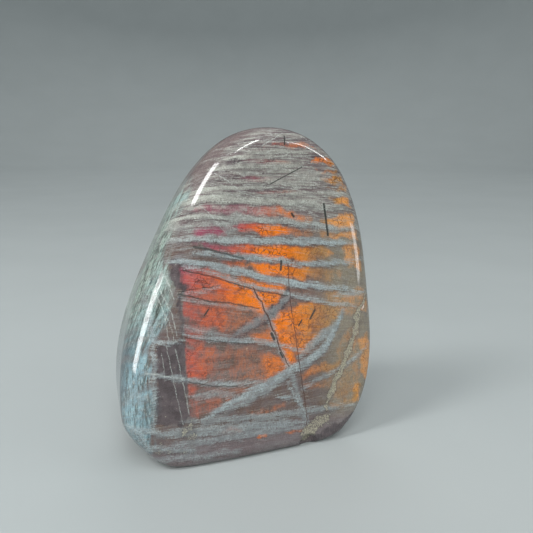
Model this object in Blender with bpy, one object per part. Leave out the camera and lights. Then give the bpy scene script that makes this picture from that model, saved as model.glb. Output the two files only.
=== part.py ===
"""A polished labradorite freeform that stands on its sawn base.

The stone is one solid. Its skin is where the ground faces meet: an outline wall seen from the front,
a nearly flat front face that leans back, a domed back, the sawn base and a few smaller facets. Each pair
of faces meets in a round edge. The front looks along -Y, +Z is up, and the origin is under the middle of
the stone, on the table.
"""

from math import cos, pi, radians, sin

import bmesh
import bpy
import numpy as np

MM = 0.001

# Driving dimensions
MIDDLE_HEIGHT = 46.7 * MM
FRONT_DEPTH = 22.0 * MM
BACK_DEPTH = 24.4 * MM
FRONT_LEAN = radians(5)
BACK_LEAN = radians(8)
FRONT_DOME = 1.5 * MM
BACK_DOME = 6.0 * MM
DOME_HALF_WIDTH = 41 * MM
DOME_HALF_HEIGHT = 56 * MM
BACK_TAPER = 0.10

# How far the outline reaches from the middle, seen from the front. The sixteen directions are evenly
# spaced. They start at the right and turn through the top, the left and the bottom.
OUTLINE_REACH = [
    reach * MM
    for reach in (42.5, 48.5, 60.5, 67, 64.5, 58, 48, 38.5, 47, 59.5, 63.5, 59, 56, 56, 54, 48)
]
OUTLINE_SOFTNESS = 3.0 * MM

# The front rim's radius at the right, upper right, top, upper left, left, lower left, bottom, lower right
FRONT_RIM = [radius * MM for radius in (8, 8, 9, 13, 14, 7, 7, 3)]
BACK_RIM = 16 * MM
BASE_RIM = 4 * MM
SAW_DEPTH = 0.4 * MM

# Smaller ground facets: azimuth and elevation in degrees, distance from the middle, edge radius
FACETS = {
    "lower_left": (-70, -38, 58.8 * MM, 2.5 * MM),
    "lower_right": (50, -45, 59.5 * MM, 4 * MM),
    "lower_front": (15, -50, 58.0 * MM, 4 * MM),
    "back_shoulder": (158, 42, 42.0 * MM, 14 * MM),
    "back_right": (118, -12, 40.0 * MM, 12 * MM),
}

# The chip in the base's front edge, where the long crack ends
CHIP_PLACE = (17.0 * MM, -26.2 * MM, 0.8 * MM)
CHIP_HALF_SIZE = (3.8 * MM, 3.6 * MM, 3.4 * MM)
CHIP_TURN = radians(-20)

SLAB_SIDE = 200 * MM
SLAB_HEIGHT = 10 * MM

# The slow waves that hand polishing leaves in the skin: wave direction, wavelength, height, phase
POLISH_WAVES = (
    ((1.0, 0.2, 0.5), 61 * MM, 0.22 * MM, 0.4),
    ((-0.4, 0.3, 1.0), 43 * MM, 0.16 * MM, 2.1),
    ((0.7, 1.0, -0.6), 29 * MM, 0.08 * MM, 4.0),
)

SPHERE_SUBDIVISIONS = 7
KEPT_FACES = 0.085
HALVINGS = 36
FARTHEST = 90 * MM


def clear_scene():
    for obj in list(bpy.data.objects):
        bpy.data.objects.remove(obj)


def round_meet(first, second, radius):
    """The distance to two faces that meet in an edge of this radius. It is negative inside both."""
    flat = np.minimum(np.maximum(first, second), -radius)
    return flat + np.hypot(np.maximum(first + radius, 0), np.maximum(second + radius, 0))


def around(turn, values):
    """A smooth closed curve through evenly spaced values, read at a share of a full turn."""
    knots = np.asarray(values, float)
    count = len(knots)
    even = np.eye(count)
    bend = np.linalg.solve(
        4 * even + np.roll(even, 1, 0) + np.roll(even, -1, 0),
        6 * (np.roll(knots, 1) - 2 * knots + np.roll(knots, -1)),
    )
    place = (turn % 1.0) * count
    left = np.floor(place).astype(int) % count
    right = (left + 1) % count
    share = place - np.floor(place)
    rest = 1 - share
    straight = knots[left] * rest + knots[right] * share
    return straight + ((rest**3 - rest) * bend[left] + (share**3 - share) * bend[right]) / 6


def facing(azimuth, elevation):
    """The direction at this azimuth from the front, turning to the right, and this elevation, in degrees."""
    a, e = radians(azimuth), radians(elevation)
    return np.array((sin(a) * cos(e), -cos(a) * cos(e), sin(e)))


def outline_wall(x, y, rise):
    """The distance to the side wall, which narrows towards the back."""
    back_share = np.clip((y + FRONT_DEPTH) / (FRONT_DEPTH + BACK_DEPTH), 0, 1.2)
    ways = 2 * pi * np.arange(len(OUTLINE_REACH)) / len(OUTLINE_REACH)
    reach = np.array(OUTLINE_REACH)[:, None] * (1 - BACK_TAPER * back_share)
    past = (np.cos(ways)[:, None] * x + np.sin(ways)[:, None] * rise - reach) / OUTLINE_SOFTNESS
    most = past.max(0)
    return OUTLINE_SOFTNESS * (most + np.log(np.exp(past - most).sum(0)))


def stone_field(points):
    """The distance from each point to the stone's skin. It is negative inside the stone."""
    x, y, z = points.T
    rise = z - MIDDLE_HEIGHT
    turn = np.arctan2(rise, x) / (2 * pi)
    spread = (x / DOME_HALF_WIDTH) ** 2 + (rise / DOME_HALF_HEIGHT) ** 2
    front = -(y + FRONT_DEPTH) * cos(FRONT_LEAN) + rise * sin(FRONT_LEAN) + FRONT_DOME * spread
    back = (y - BACK_DEPTH) * cos(BACK_LEAN) + rise * sin(BACK_LEAN) + BACK_DOME * spread
    skin = round_meet(outline_wall(x, y, rise), front, around(turn, FRONT_RIM))
    skin = round_meet(skin, back, BACK_RIM)
    middle = np.array((0, 0, MIDDLE_HEIGHT))
    for azimuth, elevation, distance, edge in FACETS.values():
        skin = round_meet(skin, (points - middle) @ facing(azimuth, elevation) - distance, edge)
    for way, length, height, phase in POLISH_WAVES:
        way = np.array(way) / np.linalg.norm(way)
        skin = skin + height * np.sin(2 * pi * (points @ way) / length + phase)
    return round_meet(skin, -z - SAW_DEPTH, BASE_RIM)


def skin_points(directions):
    """Where the rays from the stone's middle leave the stone."""
    middle = np.array((0, 0, MIDDLE_HEIGHT))
    near = np.zeros(len(directions))
    far = np.full(len(directions), FARTHEST)
    for _ in range(HALVINGS):
        half = (near + far) / 2
        inside = stone_field(middle + directions * half[:, None]) < 0
        near = np.where(inside, half, near)
        far = np.where(inside, far, half)
    return middle + directions * near[:, None]


def ground_stone(name):
    """The stone's skin: a sphere in its proportions, with each vertex drawn in to the ground faces."""
    shape = bmesh.new()
    bmesh.ops.create_icosphere(shape, subdivisions=SPHERE_SUBDIVISIONS, radius=1)
    proportions = np.array((DOME_HALF_WIDTH, FRONT_DEPTH, DOME_HALF_HEIGHT))
    directions = np.array([vertex.co for vertex in shape.verts]) * proportions
    directions /= np.linalg.norm(directions, axis=1)[:, None]
    skin = skin_points(directions)
    low, high = skin.min(0), skin.max(0)
    skin -= np.array(((low[0] + high[0]) / 2, (low[1] + high[1]) / 2, 0))
    for vertex, place in zip(shape.verts, skin):
        vertex.co = place
    mesh = bpy.data.meshes.new(name)
    shape.to_mesh(mesh)
    shape.free()
    mesh.shade_smooth()
    return bpy.data.objects.new(name, mesh)


def thin_faces(stone):
    """Fewer faces where the skin is flat, more where it turns."""
    thin = stone.modifiers.new("fewer_faces", "DECIMATE")
    thin.ratio = KEPT_FACES


def cut_away(stone, cutter, name, cutters):
    """Cut a cutter's shape out of the stone, and keep the cutter with the others."""
    cutter.name = name
    cutter.hide_render = True
    cutter.display_type = "WIRE"
    for holder in list(cutter.users_collection):
        holder.objects.unlink(cutter)
    cutters.objects.link(cutter)
    cut = stone.modifiers.new(name, "BOOLEAN")
    cut.operation = "DIFFERENCE"
    cut.object = cutter


def chip_edge(stone, cutters):
    """The small chip in the base's front edge."""
    bpy.ops.mesh.primitive_ico_sphere_add(subdivisions=3, radius=1, location=CHIP_PLACE)
    scoop = bpy.context.object
    scoop.rotation_euler.z = CHIP_TURN
    scoop.scale = CHIP_HALF_SIZE
    cut_away(stone, scoop, "chip", cutters)


def saw_base(stone, cutters):
    """The flat that the stone stands on, sawn at the table's height."""
    bpy.ops.mesh.primitive_cube_add(size=1, location=(0, 0, -SLAB_HEIGHT / 2))
    slab = bpy.context.object
    slab.scale = (SLAB_SIDE, SLAB_SIDE, SLAB_HEIGHT)
    cut_away(stone, slab, "saw_cut", cutters)


def labradorite_material():
    material = bpy.data.materials.new("polished_labradorite")
    material.use_nodes = True
    shader = material.node_tree.nodes["Principled BSDF"]
    shader.inputs["Base Color"].default_value = (0.24, 0.17, 0.13, 1)
    shader.inputs["Roughness"].default_value = 0.15
    shader.inputs["Metallic"].default_value = 0.0
    return material


def main():
    clear_scene()
    parts = bpy.data.collections.new("polished_labradorite")
    cutters = bpy.data.collections.new("cutters")
    bpy.context.scene.collection.children.link(parts)
    bpy.context.scene.collection.children.link(cutters)
    stone = ground_stone("labradorite")
    parts.objects.link(stone)
    stone.data.materials.append(labradorite_material())
    thin_faces(stone)
    chip_edge(stone, cutters)
    saw_base(stone, cutters)


main()
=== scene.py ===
"""The look of a polished labradorite freeform: its ground skin, the colour flash in its front, its stage.

Lengths are in metres and written in millimetres times MM. The marks in the stone are given in plain
millimetres on the front's own plan, across and up. The sheets that they belong to run back through the
stone at a slant.
"""

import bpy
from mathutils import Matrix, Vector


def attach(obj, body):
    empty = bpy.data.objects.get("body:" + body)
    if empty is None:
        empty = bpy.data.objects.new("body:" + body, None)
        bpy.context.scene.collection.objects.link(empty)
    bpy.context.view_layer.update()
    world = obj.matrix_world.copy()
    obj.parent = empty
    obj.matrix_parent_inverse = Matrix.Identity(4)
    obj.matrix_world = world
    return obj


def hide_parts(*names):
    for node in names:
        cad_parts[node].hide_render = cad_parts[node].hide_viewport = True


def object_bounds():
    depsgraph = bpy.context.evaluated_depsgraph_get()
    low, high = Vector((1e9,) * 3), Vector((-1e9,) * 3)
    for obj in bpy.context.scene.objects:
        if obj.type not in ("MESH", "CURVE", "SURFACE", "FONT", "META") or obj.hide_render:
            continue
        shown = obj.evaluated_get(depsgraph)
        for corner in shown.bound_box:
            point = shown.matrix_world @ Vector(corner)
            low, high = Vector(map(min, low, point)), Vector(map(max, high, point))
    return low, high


bl_info = {
    "name": "Polished Labradorite",
    "version": (1, 0, 0),
    "blender": (4, 5, 0),
    "location": "View3D > Sidebar > Labradorite",
    "description": "Makes a polished labradorite freeform and the pale stage that it stands on",
    "category": "Add Mesh",
}

from math import cos, pi, radians, sin, tan
from typing import NamedTuple

import bmesh
import bpy
import numpy as np
from bpy.props import FloatProperty, FloatVectorProperty, IntProperty, PointerProperty
from mathutils import Vector

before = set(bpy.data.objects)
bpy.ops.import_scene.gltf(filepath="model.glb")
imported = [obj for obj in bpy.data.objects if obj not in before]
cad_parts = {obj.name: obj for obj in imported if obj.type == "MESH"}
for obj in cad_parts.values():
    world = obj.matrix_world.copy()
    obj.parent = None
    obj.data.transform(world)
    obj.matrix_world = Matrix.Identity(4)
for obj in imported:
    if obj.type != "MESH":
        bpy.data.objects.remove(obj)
CAD_LOW, CAD_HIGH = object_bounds()

MM = 0.001
NODE = "labradorite"

# The stone's ground faces, the same as in the part
MIDDLE_HEIGHT = 46.7 * MM
FRONT_DEPTH = 22.0 * MM
BACK_DEPTH = 24.4 * MM
FRONT_LEAN = radians(5)
BACK_LEAN = radians(8)
FRONT_DOME = 1.5 * MM
BACK_DOME = 6.0 * MM
DOME_HALF_WIDTH = 41 * MM
DOME_HALF_HEIGHT = 56 * MM
BACK_TAPER = 0.10
# How far the side wall's sixteen flats stand from the middle, from the right through the top and round
OUTLINE_REACH = [
    reach * MM
    for reach in (42.5, 48.5, 60.5, 67, 64.5, 58, 48, 38.5, 47, 59.5, 63.5, 59, 56, 56, 54, 48)
]
OUTLINE_SOFTNESS = 3.0 * MM
# The front rim's radius in eight directions, and the other rims
FRONT_RIM = [radius * MM for radius in (8, 8, 9, 13, 14, 7, 7, 3)]
BACK_RIM = 16 * MM
BASE_RIM = 4 * MM
SAW_DEPTH = 0.4 * MM
# Smaller ground facets: azimuth and elevation in degrees, distance from the middle, edge radius
FACETS = {
    "lower_left": (-70, -38, 58.8 * MM, 2.5 * MM),
    "lower_right": (50, -45, 59.5 * MM, 4 * MM),
    "lower_front": (15, -50, 58.0 * MM, 4 * MM),
    "back_shoulder": (158, 42, 42.0 * MM, 14 * MM),
    "back_right": (118, -12, 40.0 * MM, 12 * MM),
}
# The slow waves that polishing leaves in the skin: wave direction, wavelength, height, phase
POLISH_WAVES = (
    ((1.0, 0.2, 0.5), 61 * MM, 0.22 * MM, 0.4),
    ((-0.4, 0.3, 1.0), 43 * MM, 0.16 * MM, 2.1),
    ((0.7, 1.0, -0.6), 29 * MM, 0.08 * MM, 4.0),
)
# The chip in the base's front edge, placed before the skin is centred
CHIP_PLACE = np.array((15.1, -25.2, 0.8)) * MM
CHIP_HALF_SIZE = np.array((3.8, 3.6, 3.4)) * MM
CHIP_EDGE = 0.4 * MM

# How finely the skin is made, and twice as finely where it faces the front
SPHERE_SUBDIVISIONS = 7
FRONT_FACING = -0.42
HALVINGS = 26
FARTHEST = 90 * MM
# The skin's size as a share of the solid's, which keeps it inside the solid's box
INSIDE_BOX = 0.9998

# The sheets inside the stone lean: how far left and down a mark moves for each step back from the front
SHEET_SLANT = (0.15, 0.45)
# How far the back's own marks rise for each step forward from the back
BACK_SLANT = 0.3
# Painted shadow: how far the dark hairs under each pale band hang below it
BAND_SHADOW_DROP = 0.8
# The reach of a place that is in no band at all
FAR_OUTSIDE = -9.0
# How much of a band's width is gone at its ends, and the pieces of a smooth line between two points
BAND_TAPER = 0.75
LINE_STEPS = 8

# How fast each kind of band narrows, a millimetre away from where it belongs
FRONT_NARROWING = 0.06
BAND_SHADOW_NARROWING = 0.3
RIGHT_NARROWING = 0.35
BACK_NARROWING = 0.10
VEIN_NARROWING = 0.15
# Where it starts to narrow: behind the front, and across at the right side, in millimetres
RIM_START = 3
VEIN_START = 2
BACK_START = 30
RIGHT_SIDE_START = 33

# From where to where behind the front each mark goes out or comes in, in millimetres
FLASH_FADE = (2.0, 7.0)
RIM_FLASH_FADE = (5.0, 12.0)
SPOT_FADE = (3, 8)
PANEL_FADE = (6, 14)
BAND_FADE = (3, 14)
PALE_SIDE_FADE = (18, 42)
STREAK_FALL_FADE = (4, 42)
STREAK_STRETCH = (14, 38)
BACK_HUE_START = (16, 28)
BACK_FLASH_START = (28, 38)
BACK_MARKS_START = (22, 34)
FRONT_LINES_FADE = (11, 5)


class Band(NamedTuple):
    """A band or vein: its points across and up and half its width, in millimetres, and its strength."""

    points: tuple
    half_width: float
    strength: float


class Patch(NamedTuple):
    """An oval patch of one mark: its middle across and up, half sizes, tilt in degrees, and strength."""

    across: float
    up: float
    half_length: float
    half_height: float
    tilt: float
    strength: float


# The pale bands that cross the front
PALE_BANDS = {
    "crown": Band(((-8, 103), (1, 100), (19, 100)), 0.5, 0.7),
    "second": Band(((-13, 100), (-1, 98), (19, 99)), 0.45, 0.6),
    "third": Band(((-12, 95.5), (0, 95), (17, 95.5)), 0.9, 0.75),
    "fourth": Band(((-5.5, 92.5), (3.5, 93), (17, 94)), 0.45, 0.6),
    "fifth": Band(((-11.5, 93), (-2.5, 90), (11, 90), (28, 91)), 0.5, 0.65),
    "sixth": Band(((-13.5, 91), (-3, 88), (16, 89), (29, 87)), 0.45, 0.6),
    "seventh": Band(((-14, 88), (4, 85.5), (19, 86), (31, 84.5)), 0.4, 0.6),
    "upper_wide": Band(((-20, 86), (-12.5, 85), (-5, 84.5), (9, 83.5), (18.5, 82.5), (31, 80)), 0.95, 0.9),
    "lower_wide": Band(((-23, 81.5), (-5.5, 78.5), (8.5, 77), (18, 75.5), (34.5, 73)), 0.8, 0.85),
    "left_wisp": Band(((-24, 78), (-14, 77.5), (-6, 75.5)), 0.8, 0.6),
    "under_pink": Band(((-25, 74.5), (-10.5, 72), (-3, 71.3), (8, 70.5), (25, 69), (34.5, 68)), 0.95, 0.92),
    "middle": Band(((-20, 69), (-5, 66.3), (7, 64.3), (16, 62.3), (34, 61.5)), 0.75, 0.85),
    "long_slope": Band(
        ((-26, 67.5), (-15.5, 64.5), (-5.5, 61.5), (6, 57.8), (18.5, 54.8), (35, 51.5)),
        0.95,
        0.92,
    ),
    "thin_slope": Band(((-22.5, 64.7), (-11, 60.3), (-1.5, 56.3), (10, 53), (18, 50), (35, 46)), 0.45, 0.8),
    "left_rise": Band(((-25, 56), (-19.5, 56.3), (-12.5, 57)), 0.35, 0.5),
    "dark_slope_edge": Band(((-25, 55.3), (-16, 52), (-9, 50.7), (0, 48)), 0.3, 0.5),
    "cross_rise": Band(((-9, 41), (-2, 44), (2, 46.3), (7, 49), (11.2, 53)), 1.0, 0.42),
    "cross_fall": Band(
        ((-1.5, 56), (1, 50.6), (2.8, 46.4), (5, 39.7), (6.5, 34), (9.5, 27.8), (12, 19.5), (15, 8.5)),
        0.7,
        0.6,
    ),
    "cross_middle": Band(((1.5, 47.5), (3.5, 45.5), (7, 46.5)), 1.2, 0.4),
    "left_level_upper": Band(((-24, 45.3), (-15.5, 42.3), (-8.5, 40)), 0.55, 0.5),
    "left_level": Band(((-24.5, 43), (-12.5, 40), (-3.5, 38.5), (5, 36.3), (13.5, 33)), 0.65, 0.75),
    "big_rise": Band(
        ((30, 45), (26, 38), (22, 32.5), (17.5, 29.5), (8, 25.7), (-0.5, 22.4), (-10.5, 18.6), (-21, 14.5)),
        1.2,
        0.9,
    ),
    "big_rise_cloud": Band(((28, 41), (20, 36), (13, 31)), 1.3, 0.65),
    "big_rise_under": Band(((12, 26.5), (4, 22.5), (-5, 19), (-13, 16)), 1.1, 0.6),
    "right_rise": Band(((39, 31), (31.5, 26), (22, 22.6), (14.5, 19.5)), 0.4, 0.75),
    "low_level": Band(
        ((-36, 32.7), (-30, 30.5), (-25, 28.7), (-16.5, 26), (-8.5, 24.6), (0, 24)),
        0.6,
        0.7,
    ),
    "low_cloud": Band(((-24.5, 23), (-13.5, 22), (-7, 20.5)), 0.9, 0.5),
    "foot": Band(((-27, 15), (-9, 13), (6.5, 11.6), (16, 11.5), (35, 10.5)), 1.0, 0.55),
    "foot_lower": Band(((-34, 12), (-18.5, 10.5), (-4, 9.3), (15.5, 7.5)), 1.4, 0.62),
    "foot_wide": Band(((-30, 8), (-10, 7), (5, 6.5), (15, 5.5)), 1.1, 0.5),
    "foot_edge": Band(((-37, 4), (-22, 2.4), (-8, 2)), 0.8, 0.45),
    "small_mark": Band(((5, 18.5), (8.5, 17), (12, 16.6)), 0.35, 0.9),
    "crack_veil": Band(((9, 22), (12, 16.3), (15.2, 10.6), (16, 7)), 0.35, 0.8),
    "panel_cross_upper": Band(((-33.5, 42.5), (-28, 41), (-24.5, 41.3)), 0.3, 0.8),
    "panel_edge": Band(((-33, 58), (-33.3, 44.6), (-35.3, 13.5)), 0.35, 0.7),
    "foot_left": Band(((-41.5, 16), (-33.5, 12.6), (-26, 12.2)), 0.5, 0.7),
    "foot_left_low": Band(((-37, 8), (-23.5, 4.5)), 0.7, 0.7),
    "corner_rim": Band(((-42, 17), (-39.5, 13.4), (-36, 6.8)), 0.45, 0.75),
}

# Hair-fine pale fibres
FIBRES = {
    "upper_left": (((-11, 94), (-4, 87), (3, 84.3)), 0.12),
    "middle_left": (((-16.5, 84), (-12.7, 78.6), (-9.8, 74.5)), 0.1),
    "crown": (((4, 101.6), (12, 106.2)), 0.14),
    "left_rim_high": (((-24, 84), (-20, 93), (-14.5, 99)), 0.16),
    "left_rim_low": (((-27, 77), (-24, 83)), 0.12),
    "fan_first": (((-31, 61), (-29.4, 51), (-29.2, 42)), 0.1),
    "fan_second": (((-29.5, 59), (-27.6, 50.5), (-26.6, 43)), 0.13),
    "fan_third": (((-27.6, 63), (-26.4, 55)), 0.12),
    "fan_fourth": (((-30.2, 55), (-27.9, 45), (-27.6, 41)), 0.08),
    "panel_first": (((-30, 40.5), (-27.9, 24), (-26.4, 14)), 0.08),
    "panel_second": (((-27.4, 39), (-25.7, 28), (-24.4, 17)), 0.11),
    "panel_third": (((-31.5, 38), (-31, 29)), 0.08),
    "panel_cross": (((-36, 32.5), (-30, 30.4), (-25.2, 29)), 0.2),
}

# Thin dark lines beside the pale bands
DARK_LINES = {
    "upper_shadow": (((-19.5, 70.7), (-12, 68.3), (-4.2, 65.6)), 0.3),
    "slope_shadow": (((-23, 63.6), (-11.3, 59.3), (-1.6, 55.4), (10, 52)), 0.17),
    "left_shadow": (((-25, 56.2), (-16, 53), (-9, 51.6), (0, 48.9)), 0.2),
    "left_rise_shadow": (((-25, 57), (-19.4, 57.2), (-12.4, 57.6)), 0.1),
    "low_shadow": (((-24, 27.8), (-16.5, 25.2), (-8.5, 23.9)), 0.14),
    "level_shadow": (((-24, 42.2), (-12, 39.2), (-4, 37.7)), 0.1),
}

# Fractures that run down the front, each with half its width
CRACKS = {
    "long_crack": (((10.6, 63), (10.8, 51), (12.2, 38), (13.7, 24.7), (15.8, 9.5), (15.8, 2)), 0.11),
    "broken_crack": (
        ((-1.5, 56), (-0.2, 52.6), (1.2, 50.9), (1.6, 48.6), (3, 46.2), (4.2, 41.4), (5.2, 39.7), (6.5, 34)),
        0.22,
    ),
    "side_crack": (((5, 41), (6.3, 35), (9.5, 27.8)), 0.12),
}

# Dark needles, each from end to end with half its width
NEEDLES = {
    "right_needle": ((24.4, 82), (25.4, 71.4), 0.34),
    "green_needle": ((5.8, 89.1), (17.3, 94.5), 0.13),
    "black_dash": ((8.3, 63.8), (8.0, 61.0), 0.36),
    "crown_needle": ((12.2, 105), (11.7, 102), 0.2),
    "upper_blob": ((12.6, 79.2), (13.2, 78.2), 0.35),
    "slant_dash": ((19.4, 46.2), (17.6, 43.4), 0.32),
    "small_dash": ((14.6, 43.3), (13.4, 41.5), 0.22),
    "left_dash": ((-16.4, 50.3), (-17.7, 48.6), 0.24),
    "crack_blob": ((3.9, 40), (4.7, 38), 0.42),
    "crack_dash": ((6.6, 33.2), (7.4, 31.4), 0.28),
}

# The rough yellowish vein near the right edge, and the rough spots at the foot and beside the vein
ROUGH_VEIN = Band(
    ((41, 52), (36.7, 44.5), (33.2, 33), (30.4, 27.7), (28.5, 22.7), (26.4, 19.9), (24.5, 15), (22.5, 9)),
    1.1,
    1.0,
)
ROUGH_SPOTS = (
    Patch(-24.5, 11.0, 2.6, 4.4, 12, 0.42),
    Patch(-30.5, 5.5, 6.0, 1.0, -12, 0.34),
    Patch(19.5, 6.4, 5.4, 2.2, 28, 0.72),
    Patch(16.2, 2.8, 2.8, 2.4, 0, 0.75),
    Patch(35.0, 38.0, 2.0, 4.4, -25, 0.42),
)

# How far across the colour flash ends against the dark panel
FLASH_LEFT_EDGE = -24.4
# The flash fills cells between the bands: each cell's strength, then its corners across and up
FLASH_CELLS = {
    "between": (
        0.17,
        ((-25, 66), (0, 63), (24, 60), (31, 50), (26, 36), (14, 27), (2, 22), (-20, 14.5), (-25, 17)),
    ),
    "between_foot": (0.06, ((-22, 22), (4, 30), (26, 27), (24, 14), (4, 14), (-14, 15.5))),
    "plum": (0.45, ((-18, 82.5), (-14.5, 84), (8, 82), (19.5, 77.5), (19.5, 75), (5, 78.5), (-15, 81))),
    "coral": (0.9, ((-9, 76.5), (-4.5, 77), (5, 76.5), (11, 74.5), (11, 72.3), (5.5, 72.3), (-3, 74.3))),
    "coral_end": (0.36, ((11, 74.5), (19, 74), (32.5, 72), (32.5, 70), (18.5, 71), (11, 72.5))),
    "pink_left": (0.72, ((-19, 77), (-14.5, 76.8), (-9.5, 76), (-9.5, 73.5), (-14, 73.3), (-18.5, 74))),
    "strip_start": (0.3, ((-20.5, 73), (-16, 72), (-16, 70), (-20, 71))),
    "strip_left": (0.72, ((-16.5, 71.5), (-5, 70.5), (-5, 67), (-11, 68.5), (-16, 70))),
    "strip": (0.98, ((-5, 70.5), (5, 69.3), (18, 68), (18, 63), (10.5, 64), (4.5, 65), (-5, 67))),
    "strip_end": (0.55, ((18, 68), (23.5, 68), (27, 65.5), (26, 63), (18, 63))),
    "dull_pink": (0.5, ((-11.5, 65.5), (-4, 65.5), (-2, 62.5), (-11, 64.5))),
    "bright_bar": (
        1.0,
        ((-1.5, 63), (2, 63.7), (18.5, 61.5), (18, 59), (15.5, 57.5), (6, 59.2), (0.5, 61)),
    ),
    "bar_end": (0.32, ((18.5, 61), (30.5, 60), (29.5, 56), (24, 56), (15.5, 57.5))),
    "pink_sliver": (0.75, ((-22, 65.5), (-17, 63.7), (-9.5, 60.7), (-9, 59.5), (-17, 61.5), (-22, 64))),
    "peach_sliver": (0.72, ((-6.5, 60), (1.5, 58), (9.5, 56), (9, 53), (1, 55.5), (-6.5, 58.3))),
    "fan_left": (0.76, ((-23, 64), (-17, 61.5), (-13, 60.5), (-13.5, 55.5), (-19.5, 55.5), (-23, 56))),
    "fan_middle": (0.92, ((-13, 60.5), (-7.5, 58), (-3.5, 56.5), (-5, 51), (-8.5, 52.5), (-13.5, 55.5))),
    "fan_heart": (
        1.0,
        ((-3.5, 56.5), (1, 55), (7.5, 53), (6.5, 50.5), (2, 49.5), (1, 47.5), (-1, 49), (-5, 51)),
    ),
    "under_rise": (
        0.5,
        ((-22.5, 56), (-8, 53.5), (-4, 51), (-1, 49), (-7.5, 50.5), (-15, 52.5), (-22, 54.5)),
    ),
    "rose_low": (
        0.52,
        ((-23, 54), (-15, 51.5), (-10.5, 50.5), (-12, 43), (-17, 44.5), (-22, 47.5), (-24.5, 49.5)),
    ),
    "brown_middle": (0.16, ((-10.5, 50.5), (-1.5, 48), (0.5, 47), (-2, 44.5), (-6, 43.5), (-12, 42.5))),
    "sun": (1.0, ((4.5, 45), (10, 47), (14, 49), (18.5, 49), (17.5, 39), (8, 40.5), (5, 40.5))),
    "sun_end": (0.5, ((18.5, 49), (27.5, 47), (28.5, 43), (23, 39), (17.5, 39))),
    "mottled": (0.8, ((5, 40), (11.5, 39.5), (11.5, 28.5), (9, 29), (8, 33), (5.5, 36.5))),
    "mottled_right": (0.66, ((12, 39), (21.5, 37.5), (16.5, 32.5), (13.5, 31.5), (12.5, 32))),
    "orange_brown": (0.42, ((-3.5, 39.5), (3.5, 41), (4.5, 37.5), (-1.5, 37.5))),
    "rose_edge": (0.42, ((-24.5, 46.5), (-19.5, 45), (-17, 43.5), (-20, 39.5), (-24.5, 40.5))),
    "ember_foot": (0.6, ((-25, 39), (-19.5, 38.5), (-20, 34), (-18, 30), (-19, 28.5), (-25, 29.5))),
    "rose_foot": (0.34, ((-19.5, 38.5), (-15.5, 37.5), (-16, 31), (-18, 30.5), (-20, 34))),
    "brown_low": (
        0.08,
        ((-15.5, 37.5), (-8.5, 36.5), (1.5, 33.5), (1, 25), (-9.5, 26), (-18, 28), (-16, 31)),
    ),
    "amber_low": (0.5, ((1.5, 33.5), (8, 31.5), (9.5, 27.5), (6.5, 26.5), (1, 26))),
    "rust_column": (0.4, ((-25, 27.5), (-21.5, 27), (-22, 23.5), (-25, 21.5))),
    "rust_low": (0.15, ((-24.5, 23), (-8, 20.5), (-15, 18), (-21, 15.5), (-24.5, 17))),
    "rust_outside": (0.3, ((-27.5, 22), (-25.8, 22), (-24.8, 15), (-26.4, 15))),
    "speckled": (0.5, ((13.5, 25), (17, 26.5), (22, 27.5), (27.5, 26.5), (25, 24.5), (15, 23.5))),
    "speckled_low": (0.32, ((15, 21.5), (23.5, 21), (25, 22), (24, 18), (20.5, 19), (15.5, 20))),
    "red_streak": (0.55, ((25, 12.5), (34, 13), (35, 11.5), (32, 10.5), (25, 11))),
    "amber_field": (0.3, ((29, 36.5), (36, 41), (36.5, 19.5), (32.5, 13.5), (25.5, 13.5), (24.5, 24))),
    "right_field": (0.34, ((22, 54), (35, 51), (36, 42), (30, 44), (24, 49))),
    "foot_brown": (0.38, ((-15, 9.5), (-11.5, 10.7), (-7.5, 10), (-7, 8.5), (-15, 8.3))),
    "foot_brown_right": (0.26, ((-6, 14.5), (8, 15.5), (8, 13.5), (-4, 12.5))),
}
# How far a cell's edge fades to each side, in millimetres
CELL_SOFTNESS = 1.3
# Smaller flashes between the streaks of the crown and at the foot
FLASH_SPOTS = {
    "crown_mauve": Patch(5.5, 96.5, 8.5, 0.9, -4, 0.34),
    "crown_dull": Patch(1, 91, 5.5, 1.1, -4, 0.38),
    "thin_mauve": Patch(7.5, 86.5, 8.5, 0.6, 0, 0.28),
    "fleck_left": Patch(-0.6, 5.4, 1.9, 0.6, 0, 0.8),
    "fleck_right": Patch(11.4, 4.8, 3.5, 0.6, -2, 0.55),
}
# The flashes in the right rim, as cells too
RIM_CELLS = {
    "rim_crown": (0.5, ((5, 101.2), (12, 103), (20, 102.6), (23, 100.8), (12, 101.4))),
    "rim_first": (0.85, ((20.5, 96.2), (25, 97.6), (30, 97.6), (30, 95.8), (24.5, 95.8))),
    "rim_second": (0.6, ((22.5, 93.2), (31, 94), (31, 92.5))),
    "rim_third": (0.85, ((23.5, 90.6), (29, 91.6), (33, 91.2), (33, 88.9), (28, 89.3))),
    "rim_fourth": (0.65, ((25.5, 87.2), (34, 88.2), (34, 86.2))),
    "rim_fifth": (0.85, ((26.5, 84.2), (32, 84.6), (35, 83), (35, 80.9), (31, 81.6))),
    "rim_sixth": (0.7, ((22.5, 76.2), (30, 78.2), (36, 78.4), (37, 73), (29, 73.6), (25, 74.8))),
    "rim_seventh": (0.55, ((24.5, 71.6), (31, 72.4), (37, 72.2), (37, 69.6), (28, 70.2))),
    "rim_eighth": (0.5, ((30, 67), (34, 68.6), (38, 67), (38.5, 59), (33, 59.5))),
    "rim_ninth": (0.36, ((33.5, 52), (40, 53), (41, 44), (36, 44))),
    "rim_peach": (0.52, ((35.6, 33), (39, 37), (42, 33), (41, 19), (37.4, 19.5), (36.6, 27))),
    "rim_ember": (0.75, ((33.4, 17.6), (36.5, 18), (36.4, 10.8), (33.4, 11.8))),
}
RIM_SOFTNESS = 1.0
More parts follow.
